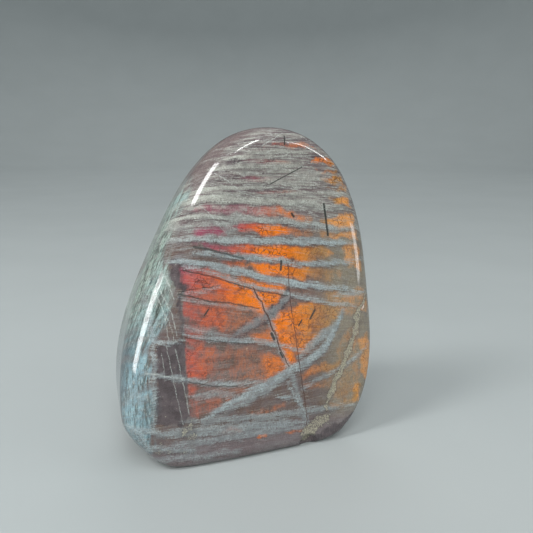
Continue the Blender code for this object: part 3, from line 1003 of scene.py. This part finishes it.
def stone_material(look):
    """The stone's body, streaks, flash, bands, cracks, needles and rough spots, each laid over the last."""
    material = bpy.data.materials.new("polished_labradorite")
    material.use_nodes = True
    tree = material.node_tree
    tree.nodes.clear()
    wiring = Wiring(tree)
    math, step, mix, noise = wiring.math, wiring.step, wiring.mix, wiring.noise
    group = stroke_group()

    # Place in the stone, in millimetres, and its place on the slanting sheets
    place = wiring.vector("SCALE", wiring.add("ShaderNodeTexCoord").outputs["Object"], scale=1 / MM)
    depth = FRONT_DEPTH / MM
    slant_across, slant_up = SHEET_SLANT
    across = math("ADD", wiring.vector("DOT_PRODUCT", place, (1, slant_across, 0)), slant_across * depth)
    up = math("ADD", wiring.vector("DOT_PRODUCT", place, (0, slant_up, 1)), slant_up * depth)
    y = wiring.add("ShaderNodeSeparateXYZ", {"Vector": place}).outputs["Y"]
    sheet = wiring.add("ShaderNodeCombineXYZ", {"X": across, "Y": y, "Z": up}).outputs[0]
    flow = wiring.marks("flow", "Vector")
    upright = wiring.marks("upright", "Vector")

    # Natural unevenness: clouds, mottling, grain, and streaks along the sheets and up the side
    cloud = noise(sheet, 0.07, 4.0, 0.55)
    mottle = noise(sheet, 0.35, 5.0, 0.62)
    grain = noise(place, 1.9, 4.0, 0.7)
    speck = noise(place, 4.0, 1.0, 0.6)
    streak = noise(wiring.vector("MULTIPLY", flow, STREAK_SCALE), 1.0, 6.0, 0.62, 0.15)
    fine_streak = noise(wiring.vector("MULTIPLY", flow, FINE_STREAK_SCALE), 1.0, 3.0, 0.6, 0.1)
    strand = noise(wiring.vector("MULTIPLY", flow, STRAND_SCALE), 1.0, 3.0, 0.5, 0.3)
    strand = step(math("ABSOLUTE", math("SUBTRACT", strand, 0.5)), 0.035, 0.0)
    hair = noise(wiring.vector("MULTIPLY", upright, HAIR_SCALE), 1.0, 4.0, 0.62)

    behind = wiring.marks("behind")
    back = step(behind, *BACK_MARKS_START)
    upper = step(up, *UPPER_PART)

    # Body, with pale and dark streaks
    body = mix(step(mottle, 0.38, 0.64, 0.0, 0.5), look.body_brown, look.body_mauve)
    yellowish = math("MULTIPLY", step(across, 17, 30, 0.0, 0.34), step(behind, 14, 6))
    body = mix(yellowish, body, look.rough_yellow)
    mauve = math("MAXIMUM", math("MULTIPLY", upper, 0.8), step(up, 12, 5, 0.0, 0.85))
    body = mix(mauve, body, look.body_mauve)
    dark = math("MULTIPLY", step(streak, 0.46, 0.36), math("MULTIPLY_ADD", upper, 0.4, 0.13))
    body = mix(dark, body, look.panel_dark_and_shade)
    veiled = math("MULTIPLY", upper, math("MULTIPLY_ADD", back, -0.5, 1.0))
    fine = math("MULTIPLY", step(fine_streak, 0.5, 0.62), math("MULTIPLY_ADD", veiled, 0.54, 0.06))
    pale = math("MULTIPLY", step(streak, 0.46, 0.6), math("MULTIPLY_ADD", veiled, 0.7, 0.12))
    pale = math("MULTIPLY", pale, step(across, -14, 10, 1.15, 0.62))
    pale_colour = mix(upper, look.veil_blue, look.veil_grey)
    streaked = mix(pale, mix(fine, body, pale_colour), pale_colour)
    strands = math("MULTIPLY", strand, step(grain, 0.3, 0.6))
    strands = math("MULTIPLY", strands, math("MULTIPLY_ADD", veiled, 0.5, 0.16))
    streaked = mix(strands, streaked, look.fibre_white)
    glassy = math("MULTIPLY", step(behind, 1.3, 4.5), step(behind, 30, 15, 0.2, 0.85))
    glass = mix(0.6, look.body_brown, look.body_mauve)
    glassy = math("MULTIPLY", glassy, step(across, -25, -11, 0.3, 1.0))
    streaked = mix(math("MULTIPLY", glassy, step(up, *GLASSY_CROWN)), streaked, glass)

    # Pale green-grey left side, bluer low down, with upright streaks and dark flecks
    low = step(up, *BLUER_SIDE)
    side = mix(low, look.side_green, look.side_blue)
    side_streak = noise(wiring.vector("MULTIPLY", upright, SIDE_STREAK_SCALE), 1.0, 4.0, 0.65)
    side = mix(step(side_streak, 0.56, 0.38, 0.0, 0.85), side, look.side_shade)
    flecks = math("MULTIPLY", step(hair, 0.48, 0.37), step(noise(upright, 0.11, 2.0), 0.38, 0.6, 0.2, 0.95))
    side = mix(flecks, side, look.needle_dark)
    side = mix(step(hair, 0.54, 0.66, 0.0, 0.6), side, look.fibre_white)
    # Painted reflection: brighter bluish patches beside the left highlight
    side_reflection = math("MULTIPLY", wiring.marks("side_reflection"), step(side_streak, 0.36, 0.58))
    side = mix(math("MULTIPLY", side_reflection, 0.6), side, look.reflection_blue)
    slate = math("MULTIPLY", step(y, -21, -13, 0.0, 0.82), step(up, *SLATE_SIDE))
    side = mix(slate, side, look.side_slate)
    side_cover = math("MULTIPLY_ADD", math("SUBTRACT", side_streak, 0.5), 0.9, wiring.marks("pale_side"))
    side_cover = math("MULTIPLY", step(side_cover, 0.1, 0.8), step(streak, 0.45, 0.62, 0.97, 0.62))
    body = mix(side_cover, streaked, side)

    # Dark panel left of the flash, and painted shade on the foot and the lower right facet
    panel_and_shade = math("MULTIPLY_ADD", math("SUBTRACT", hair, 0.5), 1.2, wiring.marks("panel_and_shade"))
    panel_and_shade_colour = mix(step(mottle, 0.4, 0.66, 0.0, 0.6), look.panel_dark_and_shade, look.body_mauve)
    body = mix(step(panel_and_shade, 0.25, 0.8, 0.0, 0.88), body, panel_and_shade_colour)

    # Colour flash: magenta at the upper left, red, orange, then amber at the right
    hue = math("MULTIPLY_ADD", math("SUBTRACT", cloud, 0.5), 0.16, wiring.marks("hue"))
    hue = math("MULTIPLY_ADD", math("SUBTRACT", mottle, 0.5), 0.26, hue)
    colours = wiring.add("ShaderNodeValToRGB", {"Fac": hue})
    stops = (
        (0.0, look.flash_magenta),
        (RED_HUE, look.flash_red),
        (0.28, look.flash_ember),
        (0.42, look.flash_orange),
        (0.60, look.flash_orange),
        (0.85, look.flash_amber),
        (1.0, look.flash_gold),
    )
    while len(colours.color_ramp.elements) < len(stops):
        colours.color_ramp.elements.new(0.5)
    for element, (position, colour) in zip(colours.color_ramp.elements, stops):
        element.position = position
        element.color = (*colour, 1)
    glow = wiring.marks("flash")
    uneven = math("MULTIPLY_ADD", math("SUBTRACT", mottle, 0.5), 0.95, glow)
    uneven = math("MULTIPLY_ADD", math("SUBTRACT", grain, 0.5), 0.5, uneven)
    uneven = math("MULTIPLY_ADD", math("SUBTRACT", hair, 0.5), 0.55, uneven)
    glow_cover = math("MULTIPLY", step(uneven, 0.0, 0.95), step(glow, 0.0, 0.3))
    brightness = math("MULTIPLY_ADD", mottle, 1.5, 0.1)
    glow_colour = wiring.vector("SCALE", colours.outputs["Color"], scale=brightness)
    stone = mix(glow_cover, body, glow_colour)
    over = math("MULTIPLY", step(fine_streak, 0.5, 0.64), glow_cover)
    over = math("MULTIPLY", over, math("MULTIPLY_ADD", upper, 0.5, 0.16))
    stone = mix(over, stone, pale_colour)

    # Net of fine dark cracks in the flash
    warp = wiring.add("ShaderNodeTexNoise", {"Vector": place, "Scale": 0.5, "Detail": 3.0}).outputs["Color"]
    bent = wiring.vector("ADD", sheet, wiring.vector("SCALE", warp, scale=2.6))
    cells = wiring.add("ShaderNodeTexVoronoi", {"Vector": bent, "Scale": 0.5}, feature="DISTANCE_TO_EDGE")
    net = math("MULTIPLY", step(cells.outputs[0], 0.07, 0.015), step(noise(sheet, 0.2, 2.0), 0.4, 0.56))
    net = math("MULTIPLY", net, math("MULTIPLY", glow_cover, 0.85))
    stone = mix(net, stone, look.crack_brown)

    # Painted shadow: dark, ragged hairs that hang under the pale bands
    band_shadow = math("MULTIPLY_ADD", math("SUBTRACT", hair, 0.5), 3.0, wiring.marks("band_shadow_reach"))
    band_shadow = math("MULTIPLY", step(band_shadow, -0.5, 0.5), wiring.marks("veil_strength"))
    stone = mix(math("MULTIPLY", band_shadow, 0.6), stone, look.panel_dark_and_shade)

    # Pale bands, with edges as ragged as torn fibre
    ragged = math("MULTIPLY_ADD", math("SUBTRACT", hair, 0.5), 1.1, wiring.marks("veil_reach"))
    ragged = math("MULTIPLY_ADD", math("SUBTRACT", fine_streak, 0.5), 2.2, ragged)
    ragged = math("MULTIPLY_ADD", math("SUBTRACT", grain, 0.5), 1.6, ragged)
    ragged = math("MULTIPLY_ADD", math("SUBTRACT", mottle, 0.5), 1.6, ragged)
    ragged = math("MULTIPLY_ADD", strand, 0.5, ragged)
    veil = math("MULTIPLY", step(ragged, -0.8, 0.6), wiring.marks("veil_strength"))
    veil = math("MULTIPLY", veil, step(fine_streak, 0.34, 0.52, 0.75, 1.0))
    veil_colour = mix(step(grain, 0.38, 0.56), mix(0.4, pale_colour, look.body_mauve), pale_colour)
    veil_colour = mix(math("MULTIPLY", strand, 0.3), veil_colour, look.fibre_white)
    veil_colour = mix(step(speck, 0.6, 0.8, 0.0, 0.6), veil_colour, look.fibre_white)
    stone = mix(veil, stone, veil_colour)

    # Fibres, dark lines, cracks and needles
    thin_warp = wiring.vector("SCALE", wiring.vector("SUBTRACT", warp, (0.5, 0.5, 0.5)), scale=0.9)
    flat = wiring.vector("MULTIPLY", wiring.vector("ADD", sheet, thin_warp), (1, 0, 1))
    near_front = step(behind, *FRONT_LINES_FADE)
    fibres = math("MULTIPLY", strokes_cover(wiring, group, flat, line_strokes(FIBRES)), near_front)
    stone = mix(math("MULTIPLY", fibres, step(grain, 0.38, 0.62, 0.1, 0.6)), stone, look.fibre_white)
    lines = math("MULTIPLY", strokes_cover(wiring, group, flat, line_strokes(DARK_LINES)), near_front)
    stone = mix(math("MULTIPLY", lines, step(grain, 0.35, 0.6, 0.45, 0.85)), stone, look.needle_dark)
    cracks = math("MULTIPLY", strokes_cover(wiring, group, flat, line_strokes(CRACKS)), near_front)
    cracks = math("MULTIPLY", cracks, step(mottle, 0.3, 0.55, 0.5, 0.95))
    back_place = wiring.vector("MULTIPLY", wiring.vector("ADD", place, thin_warp), (1, 0, 1))
    back_cracks = math("MULTIPLY", strokes_cover(wiring, group, back_place, line_strokes(BACK_CRACKS)), back)
    cracks = math("MAXIMUM", cracks, back_cracks)
    stone = mix(cracks, stone, look.crack_brown)
    straight = wiring.vector("MULTIPLY", sheet, (1, 0, 1))
    needles = math("MULTIPLY", strokes_cover(wiring, group, straight, NEEDLES.values()), near_front)
    stone = mix(math("MULTIPLY", needles, step(speck, 0.3, 0.5, 0.65, 0.95)), stone, look.needle_dark)

    # Rough yellowish vein and spots
    rough = math("MULTIPLY_ADD", math("SUBTRACT", grain, 0.5), 1.7, wiring.marks("rough"))
    rough = math("MULTIPLY_ADD", math("SUBTRACT", mottle, 0.5), 2.0, rough)
    rough_edge = math("MULTIPLY", step(rough, 0.05, 0.35), 0.45)
    stone = mix(rough_edge, stone, look.panel_dark_and_shade)
    rough_cover = step(rough, 0.3, 0.9)
    rough_colour = mix(step(speck, 0.36, 0.56), look.body_mauve, look.rough_yellow)
    rough_colour = mix(step(grain, 0.42, 0.3, 0.0, 0.9), rough_colour, look.panel_dark_and_shade)
    stone = mix(math("MULTIPLY", rough_cover, 0.85), stone, rough_colour)

    # Fine grain over everything
    shade = math("MULTIPLY_ADD", grain, 1.1, 0.47)
    shade = math("MULTIPLY", shade, math("MULTIPLY_ADD", speck, 0.7, 0.67))
    stone = wiring.vector("SCALE", stone, scale=shade)

    roughness = math("MULTIPLY_ADD", rough_cover, ROUGH_SPOT_ROUGHNESS, POLISH_ROUGHNESS)
    roughness = math("MULTIPLY_ADD", cracks, CRACK_ROUGHNESS, roughness)
    height = math("MULTIPLY", noise(place, 1.8, 3.0, 0.6), rough_cover)
    bump = wiring.add("ShaderNodeBump", {"Strength": 0.5, "Distance": ROUGH_BUMP, "Height": height})
    shader = wiring.add(
        "ShaderNodeBsdfPrincipled",
        {"Base Color": stone, "Roughness": roughness, "Normal": bump.outputs[0], "IOR": STONE_IOR},
    )
    wiring.add("ShaderNodeOutputMaterial", {"Surface": shader.outputs[0]})
    return material


def pitted_surface_tree():
    """Geometry Nodes that sink pits into the skin wherever the rough mark is set."""
    tree = bpy.data.node_groups.new("pitted_surface", "GeometryNodeTree")
    tree.interface.new_socket("Geometry", in_out="INPUT", socket_type="NodeSocketGeometry")
    tree.interface.new_socket("Pit Depth", in_out="INPUT", socket_type="NodeSocketFloat")
    tree.interface.new_socket("Pit Size", in_out="INPUT", socket_type="NodeSocketFloat")
    tree.interface.new_socket("Seed", in_out="INPUT", socket_type="NodeSocketInt")
    tree.interface.new_socket("Material", in_out="INPUT", socket_type="NodeSocketMaterial")
    tree.interface.new_socket("Geometry", in_out="OUTPUT", socket_type="NodeSocketGeometry")
    wiring = Wiring(tree)
    given = tree.nodes.new("NodeGroupInput").outputs
    rough = wiring.add("GeometryNodeInputNamedAttribute", {"Name": "rough"}, data_type="FLOAT")
    place = wiring.add("GeometryNodeInputPosition").outputs[0]
    normal = wiring.add("GeometryNodeInputNormal").outputs[0]
    noise = wiring.add(
        "ShaderNodeTexNoise",
        {
            "Vector": place,
            "W": given["Seed"],
            "Scale": wiring.math("DIVIDE", 1.0, given["Pit Size"]),
            "Detail": 2.0,
        },
        noise_dimensions="4D",
    ).outputs[0]
    sunk = wiring.math("MULTIPLY", noise, rough.outputs["Attribute"])
    sunk = wiring.math("MULTIPLY", sunk, given["Pit Depth"])
    offset = wiring.vector("SCALE", normal, scale=wiring.math("MULTIPLY", sunk, -1.0))
    above_base = wiring.add("ShaderNodeSeparateXYZ", {"Vector": place}).outputs["Z"]
    off_base = wiring.add(
        "FunctionNodeCompare", {0: above_base, 1: BASE_CLEARANCE}, operation="GREATER_THAN"
    ).outputs[0]
    moved = wiring.add(
        "GeometryNodeSetPosition", {"Geometry": given["Geometry"], "Selection": off_base, "Offset": offset}
    )
    real = wiring.add("GeometryNodeRealizeInstances", {"Geometry": moved.outputs[0]})
    finished = wiring.add(
        "GeometryNodeSetMaterial", {"Geometry": real.outputs[0], "Material": given["Material"]}
    )
    result = tree.nodes.new("NodeGroupOutput")
    tree.links.new(finished.outputs[0], result.inputs["Geometry"])
    return tree


def through_nodes(mesh, tree, values):
    """Put a mesh through a Geometry Nodes tree and return the plain mesh that comes out."""
    maker = bpy.data.objects.new("maker", mesh)
    bpy.context.scene.collection.objects.link(maker)
    modifier = maker.modifiers.new("nodes", "NODES")
    modifier.node_group = tree
    for socket in tree.interface.items_tree:
        if socket.item_type == "SOCKET" and socket.in_out == "INPUT" and socket.name in values:
            modifier[socket.identifier] = values[socket.name]
    ready = maker.evaluated_get(bpy.context.evaluated_depsgraph_get())
    made = bpy.data.meshes.new_from_object(ready)
    maker.modifiers.clear()
    bpy.data.objects.remove(maker)
    return made


class LABRADORITE_OT_stone(bpy.types.Operator):
    """Make the polished stone in place of the plain solid"""

    bl_idname = "labradorite.stone"
    bl_label = "Polished Stone"

    def execute(self, context):
        look = context.scene.labradorite_stone
        skin, centre = ground_skin("ground_skin")
        paint_marks(skin, centre)
        material = stone_material(look)
        values = {
            "Pit Depth": look.pit_depth,
            "Pit Size": look.pit_size,
            "Seed": look.pit_seed,
            "Material": material,
        }
        mesh = through_nodes(skin, pitted_surface_tree(), values)
        mesh.name = "polished_stone"
        mesh.shade_smooth()
        stone = bpy.data.objects.new("polished_stone", mesh)
        context.scene.collection.objects.link(stone)
        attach(stone, "root")
        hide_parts(NODE)
        return {"FINISHED"}


def stage_material(colour):
    """Matt pale paper with a faint unevenness."""
    material = bpy.data.materials.new("pale_paper")
    material.use_nodes = True
    wiring = Wiring(material.node_tree)
    shader = material.node_tree.nodes["Principled BSDF"]
    place = wiring.add("ShaderNodeTexCoord").outputs["Object"]
    shade = wiring.step(wiring.noise(place, 9.0, 3.0), 0.3, 0.7, 0.97, 1.0)
    wiring.give(shader.inputs["Base Color"], wiring.vector("SCALE", tuple(colour), scale=shade))
    shader.inputs["Roughness"].default_value = 0.9
    shader.inputs["Specular IOR Level"].default_value = 0.15
    return material


def pale_bowl(name, material):
    """A round floor that curves up into a backdrop all round."""
    profile = [(0.0, 0.0), (FLOOR_RADIUS, 0.0)]
    for step in range(1, BEND_STEPS + 1):
        turn = radians(90) * step / BEND_STEPS
        profile.append((FLOOR_RADIUS + BEND_RADIUS * sin(turn), BEND_RADIUS * (1 - cos(turn))))
    profile.append((FLOOR_RADIUS + BEND_RADIUS, WALL_HEIGHT))
    shape = bmesh.new()
    line = [shape.verts.new((radius, 0, height)) for radius, height in profile]
    edges = [shape.edges.new(pair) for pair in zip(line, line[1:])]
    bmesh.ops.spin(
        shape,
        geom=line + edges,
        axis=(0, 0, 1),
        cent=(0, 0, 0),
        angle=radians(360),
        steps=BOWL_STEPS,
        use_merge=True,
    )
    bmesh.ops.remove_doubles(shape, verts=shape.verts, dist=MM)
    bmesh.ops.recalc_face_normals(shape, faces=shape.faces)
    bmesh.ops.reverse_faces(shape, faces=[face for face in shape.faces if face.normal.z < 0])
    mesh = bpy.data.meshes.new(name)
    shape.to_mesh(mesh)
    shape.free()
    mesh.shade_smooth()
    mesh.materials.append(material)
    floor = bpy.data.objects.new(name, mesh)
    bpy.context.scene.collection.objects.link(floor)
    return floor


def aim(thing, place, way):
    """Stand a camera or a light at a place, looking one way."""
    thing.location = place
    thing.rotation_mode = "QUATERNION"
    thing.rotation_quaternion = Vector(way).to_track_quat("-Z", "Y")
    bpy.context.scene.collection.objects.link(thing)


def soft_light(name, azimuth, elevation, distance, power):
    """An area light that shines on the stone from this direction."""
    lamp = bpy.data.lights.new(name, "AREA")
    lamp.energy = power
    light = bpy.data.objects.new(name, lamp)
    way = facing(azimuth, elevation)
    aim(light, Vector(LIGHT_TARGET) + Vector(way * distance), -way)
    return light


class LABRADORITE_OT_stage(bpy.types.Operator):
    """Add the pale floor, the soft lights and the camera"""

    bl_idname = "labradorite.stage"
    bl_label = "Stage"

    def execute(self, context):
        scene = context.scene
        look = scene.labradorite_stage
        pale_bowl("pale_bowl", stage_material(look.floor_colour))
        for name, (azimuth, elevation, distance, width, height, power) in LIGHTS.items():
            window = soft_light(name, azimuth, elevation, distance, power * look.light_strength)
            window.data.shape = "RECTANGLE"
            window.data.size = width
            window.data.size_y = height
            window.visible_diffuse = name not in ONLY_REFLECTED
        for name, (azimuth, elevation, distance, size, power) in FILL_LIGHTS.items():
            fill = soft_light(name, azimuth, elevation, distance, power * look.light_strength)
            fill.data.size = size
            fill.visible_glossy = False
        world = bpy.data.worlds.new("even_light")
        scene.world = world
        world.use_nodes = True
        sky = world.node_tree.nodes["Background"]
        sky.inputs["Color"].default_value = SKY_COLOUR
        sky.inputs["Strength"].default_value = look.sky_strength
        lens = bpy.data.cameras.new("camera")
        lens.sensor_width = SENSOR_WIDTH
        lens.lens = SENSOR_WIDTH / 2 / tan(radians(CAMERA_ANGLE) / 2)
        lens.clip_start = CAMERA_CLIP
        camera = bpy.data.objects.new("camera", lens)
        aim(camera, CAMERA_PLACE, -facing(CAMERA_AZIMUTH, CAMERA_PITCH))
        scene.camera = camera
        scene.view_settings.view_transform = "Standard"
        return {"FINISHED"}


class LABRADORITE_PT_sidebar(bpy.types.Panel):
    """Lists the stone and its stage"""

    bl_label = "Labradorite"
    bl_idname = "LABRADORITE_PT_sidebar"
    bl_space_type = "VIEW_3D"
    bl_region_type = "UI"
    bl_category = "Labradorite"

    def draw(self, context):
        layout = self.layout
        for settings, operator in (
            (context.scene.labradorite_stone, LABRADORITE_OT_stone),
            (context.scene.labradorite_stage, LABRADORITE_OT_stage),
        ):
            for name in settings.__annotations__:
                layout.prop(settings, name)
            layout.operator(operator.bl_idname)


CLASSES = (
    LabradoriteStone,
    LabradoriteStage,
    LABRADORITE_OT_stone,
    LABRADORITE_OT_stage,
    LABRADORITE_PT_sidebar,
)


def register():
    for cls in CLASSES:
        bpy.utils.register_class(cls)
    bpy.types.Scene.labradorite_stone = PointerProperty(type=LabradoriteStone)
    bpy.types.Scene.labradorite_stage = PointerProperty(type=LabradoriteStage)


def unregister():
    del bpy.types.Scene.labradorite_stage
    del bpy.types.Scene.labradorite_stone
    for cls in reversed(CLASSES):
        bpy.utils.unregister_class(cls)


def main():
    register()
    bpy.ops.labradorite.stone()
    bpy.ops.labradorite.stage()


if __name__ == "__main__":
    main()
